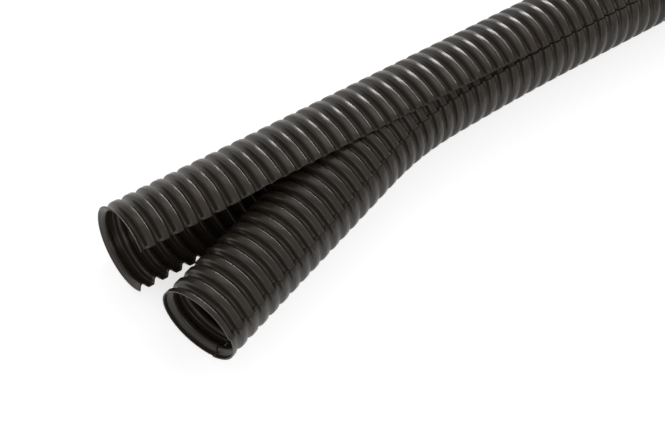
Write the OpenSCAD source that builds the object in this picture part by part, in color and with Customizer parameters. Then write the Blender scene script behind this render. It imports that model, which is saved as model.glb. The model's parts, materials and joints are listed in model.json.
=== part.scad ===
// Two-part corrugated conduit for wire looms.
// A slotted outer shell and a slit inner shell clip into each other rib in rib.
// Their near ends are pulled apart, as when a loom branches off.
// The conduit lies along +X on the floor. Section angles are measured about the
// axis from -Y, the side the slot opens to, towards +Z.

/* [Ribs] */
// Outside diameter over the ribs
outside_d = 54; // [48:1:62]
// Distance from one rib to the next
rib_pitch = 9.4; // [8.6:0.1:11]
// Height of a rib over the floor between two ribs
rib_depth = 3.3; // [2.4:0.1:3.6]
// Width of a rib's flat crest
crest_w = 4.4; // [3.4:0.1:4.8]
// Width of the floor between two ribs
valley_w = 2.2; // [1.4:0.1:2.6]

/* [Stock] */
// Length of the piece of conduit
length = 1000; // [700:50:1500]
// Distance from the near end to the first rib's middle
end_to_rib = 7.7; // [7:0.1:8.6]
// Ribs on the stretch where the shells are pulled apart
open_ribs = 34; // [30:1:40]

/* [Walls] */
// Wall of the outer shell
outer_wall = 0.9; // [0.7:0.1:1.2]
// Wall of the inner shell
inner_wall = 0.9; // [0.7:0.1:1.2]
// Clearance between the outer shell and the sunken part of the inner shell
shell_gap = 0.7; // [0.4:0.1:1]

/* [Slot and slit] */
// Angle of the slot's upper edge
slot_top = 64; // [56:1:68]
// Angle of the slot's lower edge
slot_bottom = -28; // [-34:1:-20]
// Gap between each edge of the slot and the inner shell's ledge
edge_gap = 0.9; // [0.5:0.1:1.5]
// Width of the slit through which cables are laid in
slit_w = 0.8; // [0.5:0.1:1.5]

/* [Branch] */
// Ribs over which the inner shell eases out of the slot
ease_ribs = 11; // [9:1:13]
// Angle it has turned by then
ease_angle = 3; // [2:0.5:4]
// Ribs on the bend that follows
bend_ribs = 7; // [5:1:9]
// Angle of that bend
bend_angle = 14; // [10:1:16]
// Twist of the branch about its own axis at its end
twist_angle = -22.5; // [-26:0.5:0]
// Length of the branch before the twist starts
twist_from = 110; // [80:5:150]

/* [Hidden] */
$fn = 120;

crest_r = outside_d / 2;
flank_w = (rib_pitch - crest_w - valley_w) / 2;
step = outer_wall + shell_gap;
sunk_r = crest_r - step;
free_len = end_to_rib + open_ribs * rib_pitch;
ease_len = ease_ribs * rib_pitch;
bend_len = bend_ribs * rib_pitch;
branch_angle = ease_angle + bend_angle;

gap_angle = edge_gap / crest_r * 180 / PI;
slit_angle = slit_w / sunk_r * 180 / PI;
web_angle = inner_wall / crest_r * 180 / PI;
ledge_top = slot_top - gap_angle;
ledge_bottom = slot_bottom + gap_angle;
sunk_end = ledge_bottom + 360 - slit_angle;

// Angular steps of the swept stretches
ledge_steps = 4;
sunk_steps = 11;
outer_steps = 12;
// Length by which a swept stretch runs into the straight one, and how far its flats and
// its edges are kept off the straight one's surfaces there
lap = 1;
lap_off = 0.13;

black = "#2c2a27";

// Depth of the wave below the crest at distance x from a rib's middle
function wave(x) =
    let (t = (x + crest_w / 2) % rib_pitch, u = t < 0 ? t + rib_pitch : t)
    u <= crest_w ? 0
    : u < crest_w + flank_w ? rib_depth * (u - crest_w) / flank_w
    : u <= rib_pitch - flank_w ? rib_depth
    : rib_depth * (rib_pitch - u) / flank_w;

// Corners of the wave between two distances from a rib's middle
function wave_corners(x0, x1) =
    let (
        offsets = [-crest_w / 2, crest_w / 2, crest_w / 2 + flank_w, crest_w / 2 + flank_w + valley_w],
        inside = [
            for (k = [floor(x0 / rib_pitch) - 1 : ceil(x1 / rib_pitch) + 1], d = offsets)
                if (k * rib_pitch + d > x0 + 0.05 && k * rib_pitch + d < x1 - 0.05) k * rib_pitch + d
        ]
    )
    concat([x0], inside, [x1]);

// Radius that gives an arc of flats the area of the true arc
function flat_r(r, step_angle) = r * sqrt(step_angle * PI / 180 / sin(step_angle));

// Radius whose flats stay outside the true arc, for the ring inside a straight stretch
function lap_r(r, step_angle) = (r + lap_off) / cos(step_angle / 2);

// ---- Straight stretches: the wall's outline turned about the axis ----

module along_x() { rotate([90, 0, -90]) children(); }

// Wall from x0 to x1, its crests at radius r and its section from angle a0 to a1
module turned_wall(x0, x1, r, thickness, a0, a1) {
    xs = wave_corners(x0 - end_to_rib, x1 - end_to_rib);
    outer = [for (x = xs) [r - wave(x), -x - end_to_rib]];
    inner = [for (i = [len(xs) - 1 : -1 : 0]) [r - thickness - wave(xs[i]), -xs[i] - end_to_rib]];
    turned(a0, a1) polygon(concat(outer, inner));
}

// Space outside (side = 1) or inside (side = -1) the wave at radius r, to cut a wall with
module turned_cut(x0, x1, r, side, a0, a1) {
    xs = wave_corners(x0 - end_to_rib - 1, x1 - end_to_rib + 1);
    edge = [for (x = xs) [r - wave(x), -x - end_to_rib]];
    far_r = side > 0 ? crest_r + 1 : sunk_r - rib_depth - inner_wall - 1;
    back = [[far_r, edge[len(edge) - 1][1]], [far_r, edge[0][1]]];
    turned(a0, a1) polygon(concat(edge, back));
}

module turned(a0, a1) { along_x() rotate([0, 0, a0]) rotate_extrude(angle = a1 - a0) children(); }

// ---- Swept stretches: sections joined ring to ring ----

// Skin over a list of rings, each a wall's outer face from edge to edge and then its inner
// face back, with as many points
module skin(rings) {
    n = len(rings[0]);
    last = len(rings) - 1;
    points = [for (ring = rings) each ring];
    sides = [
        for (i = [0 : last - 1], j = [0 : n - 1])
            let (a = i * n + j, b = i * n + (j + 1) % n)
            each [[a, b, b + n], [a, b + n, a + n]]
    ];
    caps = [
        for (j = [0 : n / 2 - 2])
            let (a = last * n + j, b = last * n + n - 1 - j)
            each [[j + 1, j, n - 1 - j], [j + 1, n - 1 - j, n - 2 - j], [a, a + 1, b], [b, a + 1, b - 1]]
    ];
    polyhedron(points, concat(sides, caps), convexity = 10);
}

// The inner shell's axis, by the length s from where it starts to leave the outer shell
function heading(s) =
    s < 0 ? 0
    : s < ease_len ? ease_angle * s / ease_len
    : s < ease_len + bend_len ? ease_angle + bend_angle * (s - ease_len) / bend_len
    : branch_angle;

// Travel along an arc of a given length between two headings: [towards -X, towards -Y]
function arc_travel(len, h0, h1) =
    h1 == h0 ? len * [cos(h0), sin(h0)]
    : len / ((h1 - h0) * PI / 180) * [sin(h1) - sin(h0), cos(h0) - cos(h1)];

function branch_travel(s) =
    let (
        s1 = min(s, ease_len),
        s2 = min(max(s - ease_len, 0), bend_len),
        s3 = max(s - ease_len - bend_len, 0)
    )
    arc_travel(s1, 0, heading(s1))
    + arc_travel(s2, ease_angle, heading(ease_len + s2))
    + arc_travel(s3, branch_angle, branch_angle);

function branch_point(s, angle, r) =
    let (h = heading(s), t = branch_travel(s), a = angle + twist(s))
    [free_len - t[0] + r * cos(a) * sin(h), -t[1] - r * cos(a) * cos(h), r * sin(a) + lift(s)];

// The branch rides up on the outer shell's lower lip, because skewed ribs don't mesh
function lift(s) = lift_h * smooth(min(1, max(0, (s - lift_from) / lift_run)));

function twist(s) = twist_angle * max(0, s - twist_from) / (free_len - twist_from);

// Section of the inner shell where its wave is d deep: [angle, radius] from the slit round.
// At the ring inside the straight stretch (lapped = 1) its faces are a little off.
function inner_section(d, lapped) =
    let (
        off = lapped * lap_off / crest_r * 180 / PI,
        low = ledge_bottom + off,
        top = ledge_top + off,
        ledge = top - low,
        sunk = sunk_end - off - top,
        ledge_flat = ledge / ledge_steps,
        sunk_flat = sunk / sunk_steps,
        ledge_r = (lapped > 0 ? lap_r(crest_r, ledge_flat) : flat_r(crest_r, ledge_flat)) - d,
        low_r = (lapped > 0 ? lap_r(sunk_r, sunk_flat) : flat_r(sunk_r, sunk_flat)) - d
    )
    concat(
        [for (i = [0 : ledge_steps]) [low + ledge_flat * i, ledge_r]],
        [for (i = [0 : sunk_steps]) [top + sunk_flat * i, low_r]],
        [for (i = [sunk_steps : -1 : 1]) [top + sunk_flat * i, low_r - inner_wall]],
        [[top - web_angle, low_r - inner_wall]],
        [
            for (i = [ledge_steps : -1 : 0])
                [low + (ledge - web_angle) * i / ledge_steps, ledge_r - inner_wall]
        ]
    );

function branch_rings() =
    let (stations = wave_corners(-lap, free_len))
    [for (i = [len(stations) - 1 : -1 : 0]) let (s = stations[i])
        [for (p = inner_section(wave(s), i == 0 ? 1 : 0)) branch_point(s, p[0], p[1])]
    ];

// How far the slot is spread by the inner shell passing through it, 0 to 1, at x
function spread(x) =
    let (rise = (x - spread_from) / spread_rise, fall = (free_len - x) / spread_fall)
    smooth(min(1, max(0, rise))) * smooth(min(1, max(0, fall)));
function smooth(t) = t * t * (3 - 2 * t);
spread_from = 46;
spread_rise = 46;
spread_fall = 130;
lift_h = 2.8;
lift_from = 90;
lift_run = 80;

// Point of the outer shell's section, r_out above its crest line. The lower lip unbends to
// lie flat under the inner shell and the upper lip opens a little.
hinge_low = 270;
hinge_top = 130;
lip_low = 1;
lip_top = 0.36;
function opened(angle, open, r_out) =
    let (
        pivot = angle > hinge_low ? hinge_low : angle < hinge_top ? hinge_top : angle,
        k = 1 - open * (angle > hinge_low ? lip_low : lip_top),
        turn = (angle - pivot) * k,
        base = crest_r * [cos(pivot), sin(pivot)],
        arc = (angle - pivot) * PI / 180 * crest_r,
        chord = abs(turn) < 0.01 ? arc : arc * sin(turn / 2) / (turn / 2 * PI / 180),
        dir = pivot + 90 + turn / 2,
        normal = pivot + turn
    )
    base + chord * [cos(dir), sin(dir)] + r_out * [cos(normal), sin(normal)];

outer_sweep = slot_bottom + 360 - slot_top;
function outer_section(d, open, lapped) =
    let (
        off = lapped * lap_off / crest_r * 180 / PI,
        flat = (outer_sweep - 2 * off) / outer_steps,
        r = (lapped > 0 ? lap_r(crest_r, flat) : flat_r(crest_r, flat)) - crest_r - d
    )
    concat(
        [for (i = [0 : outer_steps]) opened(slot_top + off + flat * i, open, r)],
        [for (i = [outer_steps : -1 : 0]) opened(slot_top + off + flat * i, open, r - outer_wall)]
    );

function spread_rings(x0, x1) =
    let (stations = wave_corners(x0 - lap - end_to_rib, x1 + lap - end_to_rib), last = len(stations) - 1)
    [for (i = [0 : last]) let (x = stations[i])
        [for (p = outer_section(wave(x), spread(x + end_to_rib), i % last == 0 ? 1 : 0))
            [x + end_to_rib, -p[0], p[1]]]
    ];

// ---- Sub-parts ----

module outer_shell() {
    color(black) {
        turned_wall(0, spread_start, crest_r, outer_wall, slot_top, slot_bottom + 360);
        skin(spread_rings(spread_start, free_len));
        turned_wall(free_len, length, crest_r, outer_wall, slot_top, slot_bottom + 360);
    }
}

module inner_shell() {
    color(black) {
        skin(branch_rings());
        difference() {
            turned_wall(free_len, length, crest_r, inner_wall + step, ledge_bottom, sunk_end);
            turned_cut(free_len, length, sunk_r, 1, ledge_top, sunk_end + slit_angle / 2);
            turned_cut(
                free_len, length, crest_r - inner_wall, -1,
                ledge_bottom - slit_angle / 2, ledge_top - web_angle
            );
        }
    }
}

spread_start = end_to_rib + 4 * rib_pitch;

// The origin is on the floor, in the middle of the space that the part fills
end_travel = branch_travel(free_len);
low_y = -end_travel[1] - crest_r * cos(branch_angle);
place = [-length / 2, -(low_y + crest_r) / 2, crest_r];

translate(place) outer_shell();
translate(place) inner_shell();
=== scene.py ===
"""Builds the looks of a two-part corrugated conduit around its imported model.

The conduit lies along +X on the floor. An outer shell with a slot and an inner shell with a
slit are clipped together rib in rib, and their near ends are pulled apart. Lengths inside the
classes are millimetres. Section angles are degrees about a shell's axis, from -Y, the side the
slot opens to, towards +Z.
"""

from __future__ import annotations

import json
import logging
from dataclasses import dataclass, field
from enum import Enum
from typing import Sequence

import bpy
import numpy as np
from mathutils import Matrix, Vector

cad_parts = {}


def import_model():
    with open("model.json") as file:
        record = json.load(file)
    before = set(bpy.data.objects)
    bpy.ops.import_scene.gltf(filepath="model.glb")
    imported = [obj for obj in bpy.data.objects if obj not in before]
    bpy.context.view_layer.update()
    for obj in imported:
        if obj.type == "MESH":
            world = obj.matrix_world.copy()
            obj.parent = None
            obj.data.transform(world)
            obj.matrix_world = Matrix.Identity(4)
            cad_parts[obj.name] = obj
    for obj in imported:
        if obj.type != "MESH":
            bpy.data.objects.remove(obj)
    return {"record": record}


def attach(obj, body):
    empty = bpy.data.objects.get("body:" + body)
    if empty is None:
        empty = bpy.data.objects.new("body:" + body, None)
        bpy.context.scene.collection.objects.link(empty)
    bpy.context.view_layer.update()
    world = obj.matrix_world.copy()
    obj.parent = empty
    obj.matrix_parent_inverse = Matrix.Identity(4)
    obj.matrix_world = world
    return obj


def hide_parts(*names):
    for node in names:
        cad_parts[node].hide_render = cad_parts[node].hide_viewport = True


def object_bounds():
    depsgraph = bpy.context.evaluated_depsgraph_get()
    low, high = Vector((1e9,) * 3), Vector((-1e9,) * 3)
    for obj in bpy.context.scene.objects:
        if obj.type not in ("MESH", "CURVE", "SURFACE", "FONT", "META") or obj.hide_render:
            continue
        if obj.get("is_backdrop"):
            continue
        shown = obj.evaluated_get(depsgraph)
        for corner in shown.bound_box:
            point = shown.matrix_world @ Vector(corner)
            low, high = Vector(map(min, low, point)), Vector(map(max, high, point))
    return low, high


LOG = logging.getLogger("conduit")
METRE = 1000.0


class Detail(Enum):
    """How finely a rib's outline is divided along the conduit.

    Each value holds the places of the stations round a corner of the crest and round a
    corner of the valley, as shares of that corner's width.
    """

    FINE = ((-0.5, -0.28, 0.0, 0.28, 0.5), (-0.5, 0.0, 0.5))
    MEDIUM = ((-0.5, 0.0, 0.5), (-0.45, 0.45))


class Extra(Enum):
    """Names of the attributes that the finish reads from a shell's mesh."""

    GIRTH = "girth"
    CREST = "crest"


# ---------------------------------------------------------------- colours and nodes


def linear(hex_colour: str) -> tuple[float, float, float, float]:
    """Turns an sRGB hex colour into linear light.

    Args:
        hex_colour: The colour as "#rrggbb".

    Returns:
        Red, green, blue and an alpha of 1.
    """
    value = np.array([int(hex_colour[i : i + 2], 16) for i in (1, 3, 5)]) / 255.0
    light = np.where(value <= 0.04045, value / 12.92, ((value + 0.055) / 1.055) ** 2.4)
    return (float(light[0]), float(light[1]), float(light[2]), 1.0)


def add(tree: bpy.types.NodeTree, kind: str, links: dict | None = None, **settings) -> bpy.types.Node:
    """Adds a node to a tree.

    Args:
        tree: The tree that the node joins.
        kind: The node's type name.
        links: Input name or number to the value it holds or the output that feeds it.
        settings: Attributes to set on the node.

    Returns:
        The new node.
    """
    node = tree.nodes.new(kind)
    for name, value in settings.items():
        setattr(node, name, value)
    for name, value in (links or {}).items():
        if isinstance(value, bpy.types.NodeSocket):
            tree.links.new(value, node.inputs[name])
        else:
            node.inputs[name].default_value = value
    return node


def new_material(name: str) -> tuple[bpy.types.Material, bpy.types.NodeTree]:
    """Makes an empty node material and returns it with its tree."""
    material = bpy.data.materials.new(name)
    material.use_nodes = True
    material.node_tree.nodes.clear()
    return material, material.node_tree


@dataclass(frozen=True)
class BlackPolypropylene:
    """Carbon-black polypropylene, formed on a corrugator's running moulds.

    The melt is drawn round the mould blocks, which leaves fine lines round each rib and a
    satin gloss. The crests are painted paler than the valleys and the inside, in random
    patches: painted light on the crests and painted shade in the hollows.

    Attributes:
        name: The material's name.
        colour: Colour of the bulk.
        lit_crest_paint: Colour painted on the crests as painted light, paler than the bulk.
        roughness: Roughness midway between a line and its groove.
        ior: Index of refraction.
        line_pitch: Width of a drawn line, in millimetres.
        line_length: Length of a drawn line, in millimetres.
        line_height: Height of a drawn line, in millimetres.
        line_gloss: How far the lines move the roughness down and up.
        grain: Size of the moulded grain, in millimetres.
        grain_height: Height of the grain, in millimetres.
        paint_patch_scale: Patches of painted crest light to the metre, each about 22 mm wide.
        paint_patch_edges: Noise values where a patch starts and where it is full.
    """

    name: str = "black_polypropylene"
    colour: str = "#342d26"
    lit_crest_paint: str = "#423a32"
    roughness: float = 0.24
    ior: float = 1.49
    line_pitch: float = 0.75
    line_length: float = 60.0
    line_height: float = 0.035
    line_gloss: tuple[float, float] = (-0.05, 0.07)
    grain: float = 0.35
    grain_height: float = 0.006
    paint_patch_scale: float = 45.0
    paint_patch_edges: tuple[float, float] = (0.35, 0.7)

    def build(self) -> bpy.types.Material:
        """Makes the material.

        Returns:
            A material that reads the girth map and the crest attribute of a shell.
        """
        material, tree = new_material(self.name)
        girth = add(tree, "ShaderNodeUVMap", uv_map=Extra.GIRTH.value)
        place = add(tree, "ShaderNodeTexCoord").outputs["Object"]
        crest = add(tree, "ShaderNodeAttribute", attribute_name=Extra.CREST.value).outputs["Fac"]
        # Lines round the conduit: noise that is short along it and long round it.
        line_scale = (METRE / self.line_pitch, METRE / self.line_length, 1.0)
        stretched = add(
            tree, "ShaderNodeMapping", {"Vector": girth.outputs["UV"], "Scale": line_scale}
        ).outputs["Vector"]
        lines = add(
            tree, "ShaderNodeTexNoise", {"Vector": stretched, "Scale": 1.0, "Detail": 2.0, "Roughness": 0.6}
        ).outputs["Fac"]
        grain = add(
            tree, "ShaderNodeTexNoise", {"Vector": place, "Scale": METRE / self.grain, "Detail": 2.0}
        ).outputs["Fac"]
        cloud = add(
            tree, "ShaderNodeTexNoise", {"Vector": place, "Scale": self.paint_patch_scale, "Detail": 3.0}
        ).outputs["Fac"]
        line_bump = add(
            tree, "ShaderNodeBump", {"Height": lines, "Distance": self.line_height / METRE, "Strength": 1.0}
        ).outputs["Normal"]
        bump = add(
            tree,
            "ShaderNodeBump",
            {"Height": grain, "Distance": self.grain_height / METRE, "Strength": 1.0, "Normal": line_bump},
        ).outputs["Normal"]
        # Painted light: the colour turns paler towards the crests and stays darker in the valleys and the
        # inside, in random patches.
        start, full = self.paint_patch_edges
        paint_patches = add(
            tree, "ShaderNodeMapRange", {"Value": cloud, "From Min": start, "From Max": full}
        ).outputs["Result"]
        painted_crest_light = add(tree, "ShaderNodeMath", {0: crest, 1: paint_patches}, operation="MULTIPLY").outputs["Value"]
        colour = add(tree, "ShaderNodeMix", {"Factor": painted_crest_light}, data_type="RGBA")
        for socket, value in (("A", self.colour), ("B", self.lit_crest_paint)):
            chosen = [s for s in colour.inputs if s.name == socket and s.type == "RGBA"][0]
            chosen.default_value = linear(value)
        mixed = [s for s in colour.outputs if s.type == "RGBA"][0]
        smoothest, roughest = (self.roughness + change for change in self.line_gloss)
        gloss = add(
            tree,
            "ShaderNodeMapRange",
            {"Value": lines, "From Min": 0.3, "From Max": 0.7, "To Min": smoothest, "To Max": roughest},
        ).outputs["Result"]
        shader = add(
            tree,
            "ShaderNodeBsdfPrincipled",
            {"Base Color": mixed, "Roughness": gloss, "IOR": self.ior, "Normal": bump},
        )
        add(tree, "ShaderNodeOutputMaterial", {"Surface": shader.outputs["BSDF"]})
        return material


@dataclass(frozen=True)
class PaleFloor:
    """A pale matt floor that shows white where it is lit and keeps a soft shadow.

    Attributes:
        name: The material's name.
        colour: Colour of the matt surface.
        lift: Light added where the camera sees the floor.
        shine: Light added where a piece reflects the floor.
    """

    name: str = "pale_floor"
    colour: str = "#dcdcdc"
    lift: float = 0.7
    shine: float = 0.45

    def build(self) -> bpy.types.Material:
        """Makes the material: a matt white, lifted where it is seen and where it is reflected."""
        material, tree = new_material(self.name)
        path = add(tree, "ShaderNodeLightPath").outputs
        seen = add(
            tree,
            "ShaderNodeMath",
            {0: path["Is Camera Ray"], 1: path["Is Transmission Ray"]},
            operation="MAXIMUM",
        )
        glow = add(tree, "ShaderNodeMath", {0: seen.outputs["Value"], 1: self.lift}, operation="MULTIPLY")
        sheen = add(tree, "ShaderNodeMath", {0: path["Is Glossy Ray"], 1: self.shine}, operation="MULTIPLY")
        glow = add(tree, "ShaderNodeMath", {0: glow.outputs["Value"], 1: sheen.outputs["Value"]})
        matt = add(tree, "ShaderNodeBsdfDiffuse", {"Color": linear(self.colour)})
        lift = add(tree, "ShaderNodeEmission", {"Strength": glow.outputs["Value"]})
        both = add(tree, "ShaderNodeAddShader", {0: matt.outputs["BSDF"], 1: lift.outputs["Emission"]})
        add(tree, "ShaderNodeOutputMaterial", {"Surface": both.outputs["Shader"]})
        return material


# ---------------------------------------------------------------- the ribs' outline


@dataclass(frozen=True)
class Wave:
    """The ribs' outline along the conduit: crest, flank, valley, flank.

    Attributes:
        pitch: Distance from one rib to the next.
        depth: Height of a crest over a valley.
        crest: Width of the flat crest.
        valley: Width of the flat valley.
        corner: Length over which each corner is rounded.
        samples: Places over a corner's length that its rounding averages.
        end_gap: Least distance from an end to the next ring of vertices.
    """

    pitch: float = 9.4
    depth: float = 3.3
    crest: float = 4.4
    valley: float = 2.2
    corner: float = 1.4
    samples: int = 15
    end_gap: float = 0.08

    def drop(self, along: np.ndarray) -> np.ndarray:
        """Depth below the crest line.

        A trapezoid, averaged over the corner's length so that its corners turn smoothly.

        Args:
            along: Distances from a rib's middle.

        Returns:
            The depth at each distance.
        """
        lags = np.linspace(-0.5, 0.5, self.samples) * self.corner
        off = np.abs((along[..., None] + lags + self.pitch / 2) % self.pitch - self.pitch / 2)
        flank = (self.pitch - self.crest - self.valley) / 2
        return (np.clip((off - self.crest / 2) / flank, 0.0, 1.0) * self.depth).mean(axis=-1)

    def stations(self, start: float, end: float, fine_until: float) -> np.ndarray:
        """Places along the conduit where the outline needs a ring of vertices.

        Args:
            start: First place, as a distance from the first rib's middle.
            end: Last place.
            fine_until: Where the finer division ends.

        Returns:
            The places in order, both ends included.
        """
        places = []
        for detail, low, high in (
            (Detail.FINE, start, fine_until),
            (Detail.MEDIUM, fine_until, end),
        ):
            crest, valley = (np.array(shares) * self.corner for shares in detail.value)
            crest_edge, valley_edge = self.crest / 2, (self.pitch - self.valley) / 2
            half = np.concatenate([crest_edge + crest, valley_edge + valley])
            offsets = np.concatenate([half, -half])
            middles = np.arange(np.floor(low / self.pitch) - 1, np.ceil(high / self.pitch) + 2) * self.pitch
            every = (middles[:, None] + offsets).ravel()
            places.append(every[(every >= low) & (every < high)])
        inside = np.unique(np.round(np.concatenate(places), 4))
        inside = inside[(inside > start + self.end_gap) & (inside < end - self.end_gap)]
        return np.concatenate([[start], inside, [end]])


# ---------------------------------------------------------------- section loops

SectionPoint = tuple[float, float, float]


@dataclass
class Loop:
    """A closed outline of a wall's section, in two matching halves.

    Attributes:
        angle: Section angle of each point of the outer half, then of the inner half reversed.
        sink: Depth of each point below the crest line of the outside diameter.
        inset: 0 on the outer face, 1 on the inner face.
    """

    angle: np.ndarray
    sink: np.ndarray
    inset: np.ndarray

    @classmethod
    def from_halves(cls, outer: Sequence[SectionPoint], inner: Sequence[SectionPoint]) -> "Loop":
        """Joins the outer half and the inner half, both given from the first edge to the last."""
        table = np.array(list(outer) + list(inner)[::-1])
        return cls(table[:, 0], table[:, 1], table[:, 2])


def face(start: float, end: float, steps: int, sink: float, inset: float) -> list[SectionPoint]:
    """Points along one face of a wall, evenly spaced from one section angle to another."""
    return [(float(a), sink, inset) for a in np.linspace(start, end, steps + 1)]


def smooth(share: np.ndarray) -> np.ndarray:
    """Eases a share from 0 to 1: three squares less two cubes of the clipped share."""
    share = np.clip(share, 0.0, 1.0)
    return share * share * (3.0 - 2.0 * share)


# ---------------------------------------------------------------- shells


@dataclass
class Shell:
    """What the two shells share: the wave, the walls and the way a mesh is made.

    Attributes:
        centre: Centre of the outer shell's near end, in metres.
        finish: The material that dresses the shell.
        wave: The ribs' outline.
        radius: Radius of the outside diameter over the ribs.
        length: Length of the conduit.
        first_rib: Distance from the near end to the first rib's middle.
        open_ribs: Ribs on the stretch where the shells are apart.
        wall: Wall thickness.
        clearance: Clearance between the outer shell and the sunken part of the inner shell.
        slot_top: Angle of the slot's upper edge.
        slot_bottom: Angle of the slot's lower edge.
        bevel: Width of the broken edge where a wall is cut.
        fine_ribs: Ribs from the near end that get the finer division.
        sharp: Angle between faces above which an edge is drawn sharp.
    """

    centre: Vector
    finish: bpy.types.Material
    wave: Wave = field(default_factory=Wave)
    radius: float = 27.0
    length: float = 1000.0
    first_rib: float = 7.7
    open_ribs: int = 34
    wall: float = 0.9
    clearance: float = 0.7
    slot_top: float = 64.0
    slot_bottom: float = -28.0
    bevel: float = 0.16
    fine_ribs: int = 36
    sharp: float = 50.0

    @property
    def free_length(self) -> float:
        """Length over which the shells are apart."""
        return self.first_rib + self.open_ribs * self.wave.pitch

    @property
    def step(self) -> float:
        """Depth of the sunken part of the inner shell below the outside diameter."""
        return self.wall + self.clearance

    def degrees(self, width: float) -> float:
        """Angle that a width takes up at the outside diameter."""
        return float(np.degrees(width / self.radius))

    def grid(
        self, loop: Loop, narrowing: float, short: float = 0.0
    ) -> tuple[np.ndarray, np.ndarray, np.ndarray]:
        """Lays a section loop out along the conduit.

        The inner face follows the same wave, but its ribs are narrower than the outer
        face's by the narrowing on each side, as a wall of even thickness gives.

        Args:
            loop: The section's outline.
            narrowing: How much closer to a rib's middle the inner face's corners are.
            short: How far short of the outer shell's near end this shell stops.

        Returns:
            Distance from the near end, section angle and depth below the outside diameter,
            each with a row for every station and a column for every point of the loop.
        """
        wave = self.wave
        far = self.length - self.first_rib
        places = wave.stations(short - self.first_rib, far, self.fine_ribs * wave.pitch)
        off = (places + wave.pitch / 2) % wave.pitch - wave.pitch / 2
        edge, foot = wave.crest / 2, (wave.pitch - wave.valley) / 2
        share = np.interp(np.abs(off), [0.0, edge, foot, wave.pitch / 2], [0.0, 1.0, 1.0, 0.0])
        shift = -np.sign(off) * narrowing * share
        shift[[0, -1]] = 0.0
        along = places[:, None] + shift[:, None] * loop.inset + self.first_rib
        sink = wave.drop(places)[:, None] + loop.sink
        angle = np.broadcast_to(loop.angle, along.shape)
        return along, angle, sink

    def make(
        self, name: str, points: np.ndarray, along: np.ndarray, angle: np.ndarray, sink: np.ndarray
    ) -> bpy.types.Object:
        """Turns a grid of points, closed round its columns, into a shell.

        Args:
            name: The piece's name.
            points: Rows of section points, in millimetres, about the near end's centre.
            along: Distance from the near end at each point.
            angle: Section angle at each point.
            sink: Depth below the outside diameter at each point.

        Returns:
            The new piece, its place in its mesh.
        """
        rows, columns = along.shape
        place = points.reshape(-1, 3) / METRE + np.array(self.centre)
        a = np.arange(rows - 1)[:, None] * columns + np.arange(columns)
        b = np.arange(rows - 1)[:, None] * columns + (np.arange(columns) + 1) % columns
        sides = np.stack([a, b, b + columns, a + columns], axis=-1).reshape(-1, 4)
        near = np.arange(columns // 2 - 1)
        cap = np.stack([near, columns - 1 - near, columns - 2 - near, near + 1], axis=-1)
        quads = np.concatenate([sides, cap, (cap + (rows - 1) * columns)[:, ::-1]])
        corner = place[quads]
        volume = np.einsum("ij,ij->", np.cross(corner[:, 0], corner[:, 1]), corner[:, 2])
        volume += np.einsum("ij,ij->", np.cross(corner[:, 0], corner[:, 2]), corner[:, 3])
        if volume < 0:
            quads = quads[:, ::-1]
        mesh = bpy.data.meshes.new(name)
        mesh.from_pydata(place.tolist(), [], quads.tolist())
        mesh.polygons.foreach_set("use_smooth", np.ones(len(quads), bool))
        mesh.set_sharp_from_angle(angle=float(np.radians(self.sharp)))
        girth = np.stack([along, np.radians(angle) * self.radius], axis=-1).reshape(-1, 2) / METRE
        used = np.empty(len(mesh.loops), np.int32)
        mesh.loops.foreach_get("vertex_index", used)
        girth_map = mesh.uv_layers.new(name=Extra.GIRTH.value)
        girth_map.uv.foreach_set("vector", girth[used].astype(np.float32).ravel())
        # Crest share: 1 on the outside crests, falling to 0 in the valleys and inside. The finish paints it
        # paler as painted light on the crests and painted shade in the hollows.
        crest = np.clip(1.0 - sink / self.wave.depth, 0.0, 1.0).ravel()
        heights = mesh.attributes.new(Extra.CREST.value, "FLOAT", "POINT")
        heights.data.foreach_set("value", crest.astype(np.float32))
        mesh.materials.append(self.finish)
        mesh.validate()
        piece = bpy.data.objects.new(name, mesh)
        bpy.context.scene.collection.objects.link(piece)
        LOG.info("%s: %d vertices, %d faces", name, len(mesh.vertices), len(mesh.polygons))
        return piece


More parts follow.
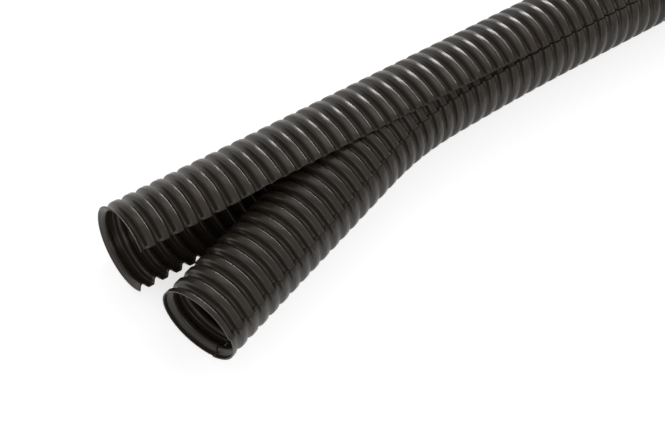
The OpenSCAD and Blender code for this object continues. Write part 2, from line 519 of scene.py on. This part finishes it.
@dataclass
class OuterShell(Shell):
    """The slotted outer shell, its slot spread where the inner shell leaves it.

    Attributes:
        spread_start: Distance from the near end where the slot starts to spread.
        spread_rise: Length over which the spread grows.
        spread_fall: Length over which the upper lip closes again, before the branching.
        low_fall: The same for the lower lip.
        low_power: How steeply the lower lip closes.
        low_hinge: Section angle where the lower lip starts to bend.
        high_hinge: Section angle where the upper lip starts to bend.
        low_lip: Share of the lower lip's curve that the full spread takes out.
        high_lip: The same for the upper lip.
        narrowing: How much narrower a rib is on the inner face, on each side.
        steps: Divisions of each face round the section.
    """

    spread_start: float = 46.0
    spread_rise: float = 46.0
    spread_fall: float = 130.0
    low_fall: float = 170.0
    low_power: float = 2.5
    low_hinge: float = 270.0
    high_hinge: float = 130.0
    low_lip: float = 1.0
    high_lip: float = 0.36
    narrowing: float = 0.2
    steps: int = 36

    def spread(self, along: np.ndarray, low: np.ndarray) -> np.ndarray:
        """How far a lip is spread: an eased rise, then a fall that the lower lip takes sooner."""
        rise = smooth((along - self.spread_start) / self.spread_rise)
        left = self.free_length - along
        high_fall = self.high_lip * smooth(left / self.spread_fall)
        low_fall = self.low_lip * np.clip(left / self.low_fall, 0.0, 1.0) ** self.low_power
        return rise * np.where(low, low_fall, high_fall)

    def place(self, along: np.ndarray, angle: np.ndarray, sink: np.ndarray) -> np.ndarray:
        """Puts section points in space.

        Each lip beyond its hinge is an arc of fixed length whose curvature is scaled down as
        the slot spreads: the chord is the length times sine over angle of half its turn.

        Args:
            along: Distance from the near end.
            angle: Section angle of the closed shell.
            sink: Depth below the outside diameter.

        Returns:
            The points about the near end's centre.
        """
        low, high = angle > self.low_hinge, angle < self.high_hinge
        pivot = np.radians(np.where(low, self.low_hinge, np.where(high, self.high_hinge, angle)))
        reach = np.radians(angle) - pivot
        turn = reach * (1.0 - self.spread(along, low))
        chord = self.radius * reach * np.sinc(turn / 2 / np.pi)
        heading = pivot + np.pi / 2 + turn / 2
        normal = pivot + turn
        side = self.radius * np.cos(pivot) + chord * np.cos(heading) - sink * np.cos(normal)
        rise = self.radius * np.sin(pivot) + chord * np.sin(heading) - sink * np.sin(normal)
        return np.stack([along, -side, rise], axis=-1)

    def build(self) -> bpy.types.Object:
        """Builds the outer shell."""
        top, bottom = self.slot_top, self.slot_bottom + 360.0
        cut = self.degrees(self.bevel)
        first, last, deep = top + cut, bottom - cut, self.wall - self.bevel
        outer = [(top, self.bevel, 0.0), *face(first, last, self.steps, 0.0, 0.0), (bottom, self.bevel, 0.0)]
        inner = [(top, deep, 1.0), *face(first, last, self.steps, self.wall, 1.0), (bottom, deep, 1.0)]
        along, angle, sink = self.grid(Loop.from_halves(outer, inner), self.narrowing)
        return self.make("outer_shell_moulding", self.place(along, angle, sink), along, angle, sink)


@dataclass
class InnerShell(Shell):
    """The slit inner shell: a ledge flush with the outer shell, the rest sunk inside it.

    Attributes:
        edge_gap: Gap between the ledge and each edge of the outer shell's slot.
        underlap: How far the sunk part reaches under the ledge's lower edge, at the slit.
        ramp: How far the sunk part rises towards the ledge at the slit.
        ramp_steps: Divisions that the rise takes up.
        short: How far this shell stops short of the outer shell's near end, before the stretch.
        stretch: Length of the pulled-out branch over its length when joined.
        lift_height: How far the branch is lifted off the joined stretch's level.
        lift_start: Travel from the branching where the lift starts.
        lift_run: Travel over which it grows.
        ease_ribs: Ribs over which the branch eases out of the slot.
        ease_angle: Angle that it turns there.
        bend_ribs: Ribs over which the branch then bends.
        bend_angle: Angle that it turns there.
        twist_angle: Twist of the branch at its free end.
        twist_start: Travel from the branching where the twist starts.
        narrowing: How much narrower a rib is on the inner face, on each side.
        ledge_steps: Divisions of the ledge round the section.
        sunk_steps: Divisions of the sunk part round the section.
    """

    edge_gap: float = 0.9
    underlap: float = 1.2
    ramp: float = 0.55
    ramp_steps: int = 3
    short: float = 6.6
    stretch: float = 1.004
    lift_height: float = 2.8
    lift_start: float = 90.0
    lift_run: float = 80.0
    ease_ribs: int = 11
    ease_angle: float = 3.0
    bend_ribs: int = 7
    bend_angle: float = 14.0
    twist_angle: float = -22.5
    twist_start: float = 110.0
    narrowing: float = 0.4
    ledge_steps: int = 10
    sunk_steps: int = 28

    def heading(self, travel: np.ndarray) -> np.ndarray:
        """Heading of the branch in radians: it turns evenly over the ease, then over the bend."""
        ease, bend = self.ease_ribs * self.wave.pitch, self.bend_ribs * self.wave.pitch
        places = [0.0, ease, ease + bend]
        turned = [0.0, self.ease_angle, self.ease_angle + self.bend_angle]
        return np.radians(np.interp(travel, places, turned))

    def path(self, travel: np.ndarray) -> tuple[np.ndarray, np.ndarray]:
        """Where the branch's axis is after some travel from the branching.

        Each stretch is an arc: its chord is its length times sine over angle of half its
        turn, along its mean heading.

        Args:
            travel: Length along the axis from the branching, below 0 in the joined stretch.

        Returns:
            Travel towards -X and towards -Y.
        """
        back, aside = np.zeros_like(travel), np.zeros_like(travel)
        ease, bend = self.ease_ribs * self.wave.pitch, self.bend_ribs * self.wave.pitch
        for low, high in ((-np.inf, ease), (ease, ease + bend), (ease + bend, np.inf)):
            start = max(low, 0.0)
            run = np.minimum(travel, high) - start
            run = run if low < 0 else np.maximum(run, 0.0)
            h0, h1 = self.heading(np.array(start)), self.heading(start + run)
            chord = run * np.sinc((h1 - h0) / 2 / np.pi)
            back += chord * np.cos((h0 + h1) / 2)
            aside += chord * np.sin((h0 + h1) / 2)
        return back, aside

    def place(self, along: np.ndarray, angle: np.ndarray, sink: np.ndarray) -> np.ndarray:
        """Puts section points on rings square to the branch's axis, turned by its twist.

        Args:
            along: Distance from the near end along the axis.
            angle: Section angle before the twist.
            sink: Depth below the outside diameter.

        Returns:
            The points about the near end's centre of the outer shell.
        """
        travel = self.free_length - along
        travel = travel * np.where(travel > 0, self.stretch, 1.0)
        back, aside = self.path(travel)
        turned = np.maximum(0.0, travel - self.twist_start) / (self.free_length - self.twist_start)
        theta = np.radians(angle + self.twist_angle * turned)
        heading = self.heading(travel)
        radius = self.radius - sink
        side = radius * np.cos(theta)
        lift = self.lift_height * smooth((travel - self.lift_start) / self.lift_run)
        return np.stack(
            [
                self.free_length - back + side * np.sin(heading),
                -aside - side * np.cos(heading),
                radius * np.sin(theta) + lift,
            ],
            axis=-1,
        )

    def build(self) -> bpy.types.Object:
        """Builds the inner shell."""
        gap, cut = self.degrees(self.edge_gap), self.degrees(self.bevel)
        top, bottom = self.slot_top - gap, self.slot_bottom + gap
        end = bottom + 360.0 + self.degrees(self.underlap)
        web = self.degrees(self.wall)
        step, wall, bevel = self.step, self.wall, self.bevel
        rise = np.zeros(self.sunk_steps + 1)
        rise[-self.ramp_steps - 1 :] = self.ramp * smooth(np.linspace(0.0, 1.0, self.ramp_steps + 1))
        sunk_outside = np.array(face(top + cut, end - cut, self.sunk_steps, step, 0.0))
        sunk_inside = np.array(face(top - web + cut, end - cut, self.sunk_steps, step + wall, 1.0))
        for part in (sunk_outside, sunk_inside):
            part[:, 1] -= rise
        outer = [
            (bottom, bevel, 0.0),
            *face(bottom + cut, top - 2 * cut, self.ledge_steps, 0.0, 0.0),
            (top - 0.5 * cut, 0.5 * bevel, 0.0),
            (top, 2.0 * bevel, 0.0),
            (top, step - bevel, 0.0),
            *sunk_outside,
            (end, step + bevel - self.ramp, 0.0),
        ]
        inner = [
            (bottom, wall - bevel, 1.0),
            *face(bottom + cut, top - web - cut, self.ledge_steps, wall, 1.0),
            (top - web, wall + bevel, 1.0),
            (top - web, step, 1.0),
            (top - web, step + wall - bevel, 1.0),
            *sunk_inside,
            (end, step + wall - bevel - self.ramp, 1.0),
        ]
        along, angle, sink = self.grid(Loop.from_halves(outer, inner), self.narrowing, self.short)
        return self.make("inner_shell_moulding", self.place(along, angle, sink), along, angle, sink)


# ---------------------------------------------------------------- studio


@dataclass(frozen=True)
class Lamp:
    """A soft rectangular lamp.

    Attributes:
        name: The lamp's name.
        place: Where it hangs, in metres.
        aim: The point it faces.
        size: Its two sides in metres.
        power: Its power in watts.
    """

    name: str
    place: tuple[float, float, float]
    aim: tuple[float, float, float]
    size: tuple[float, float]
    power: float

    def build(self) -> None:
        """Hangs the lamp in the scene."""
        data = bpy.data.lights.new(self.name, "AREA")
        data.shape, data.energy = "RECTANGLE", self.power
        data.size, data.size_y = self.size
        lamp = bpy.data.objects.new(self.name, data)
        facing = (Vector(self.aim) - Vector(self.place)).to_track_quat("-Z", "Y")
        lamp.matrix_world = Matrix.Translation(Vector(self.place)) @ facing.to_matrix().to_4x4()
        bpy.context.scene.collection.objects.link(lamp)


LAMPS = (
    Lamp("overhead", (0.3, 1.1, 1.7), (0.0, 0.0, 0.0), (1.6, 1.0), 3.0),
    Lamp("side", (-1.2, -0.9, 1.2), (-0.2, 0.0, 0.0), (1.0, 1.0), 3.0),
    Lamp("back", (1.55, 1.25, 0.45), (-0.2, 0.0, 0.0), (2.2, 0.6), 48.0),
)


@dataclass
class Studio:
    """A pale floor, soft lamps and the camera.

    Attributes:
        near_end: Centre of the outer shell's near end, in metres.
        roll_about_x: How far the level view is turned about the conduit's axis, in degrees.
        elevation: The level view's angle below the horizon, in degrees.
        azimuth: The level view's turn from +Y towards +X, in degrees.
        offset: The near end's place right of, above and in front of the camera, in metres.
        lens: Focal length in millimetres.
        sensor: Width of the sensor in millimetres.
        fill: How bright the surroundings are as a light, where 1 is the white that shows.
        floor_radius: Radius of the floor in metres.
        floor_sides: Sides of the floor's outline.
    """

    near_end: Vector
    roll_about_x: float = -28.0
    elevation: float = 44.95
    azimuth: float = 36.79
    offset: tuple[float, float, float] = (-0.11857, -0.01573, 0.986)
    lens: float = 94.36
    sensor: float = 36.0
    fill: float = 0.42
    floor_radius: float = 4.0
    floor_sides: int = 64

    def camera(self) -> bpy.types.Object:
        """Places the camera.

        Returns:
            The scene's camera.
        """
        turn = Matrix.Rotation(np.radians(self.roll_about_x), 3, "X")
        e, a = np.radians(self.elevation), np.radians(self.azimuth)
        ahead = turn @ Vector((np.cos(e) * np.sin(a), np.cos(e) * np.cos(a), -np.sin(e)))
        right = turn @ Vector((np.cos(a), -np.sin(a), 0.0))
        up = right.cross(ahead)
        x, y, z = self.offset
        data = bpy.data.cameras.new("camera")
        data.lens, data.sensor_width = self.lens, self.sensor
        data.clip_start, data.clip_end = 0.05, 20.0
        camera = bpy.data.objects.new("camera", data)
        camera.matrix_world = Matrix.Translation(self.near_end - right * x - up * y - ahead * z) @ Matrix(
            (right, up, -ahead)
        ).transposed().to_4x4()
        bpy.context.scene.collection.objects.link(camera)
        bpy.context.scene.camera = camera
        return camera

    def floor(self) -> None:
        """Lays the floor, a wide disc at height 0."""
        angle = np.linspace(0.0, 2.0 * np.pi, self.floor_sides, endpoint=False)
        rim = self.floor_radius * np.stack([np.cos(angle), np.sin(angle), np.zeros_like(angle)], axis=-1)
        mesh = bpy.data.meshes.new("floor")
        mesh.from_pydata(rim.tolist(), [], [list(range(self.floor_sides))])
        mesh.materials.append(PaleFloor().build())
        floor = bpy.data.objects.new("floor", mesh)
        bpy.context.scene.collection.objects.link(floor)
        floor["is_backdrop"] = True

    def world(self) -> None:
        """Gives soft light from all round, with plain white where the camera sees it."""
        world = bpy.data.worlds.new("studio")
        world.use_nodes = True
        tree = world.node_tree
        tree.nodes.clear()
        path = add(tree, "ShaderNodeLightPath").outputs
        seen = add(
            tree,
            "ShaderNodeMath",
            {0: path["Is Camera Ray"], 1: path["Is Transmission Ray"]},
            operation="MAXIMUM",
        )
        strength = add(
            tree, "ShaderNodeMapRange", {"Value": seen.outputs["Value"], "To Min": self.fill, "To Max": 1.0}
        ).outputs["Result"]
        back = add(tree, "ShaderNodeBackground", {"Color": (1.0, 1.0, 1.0, 1.0), "Strength": strength})
        add(tree, "ShaderNodeOutputWorld", {"Surface": back.outputs["Background"]})
        bpy.context.scene.world = world

    def build(self) -> None:
        """Sets up the camera, the lamps, the floor and the world."""
        self.camera()
        self.world()
        self.floor()
        for lamp in LAMPS:
            lamp.build()
        bpy.context.scene.view_settings.view_transform = "Standard"


def main() -> None:
    """Builds the conduit's pieces in order and reports each one."""
    logging.basicConfig(level=logging.INFO, format="%(name)s: %(message)s")
    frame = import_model()
    low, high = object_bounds()
    far_end = frame["record"]["mounts"][0]["pos_m"]
    centre = Vector((low[0], far_end[1], Shell.radius / METRE))
    black = BlackPolypropylene().build()
    outer = OuterShell(centre, black).build()
    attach(outer, "root")
    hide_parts("outer_shell")
    inner = InnerShell(centre, black).build()
    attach(inner, "root")
    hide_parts("inner_shell")
    for piece in (outer, inner):
        LOG.info("placed %s", piece.name)
    Studio(centre).build()
    low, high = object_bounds()


if __name__ == "__main__":
    main()
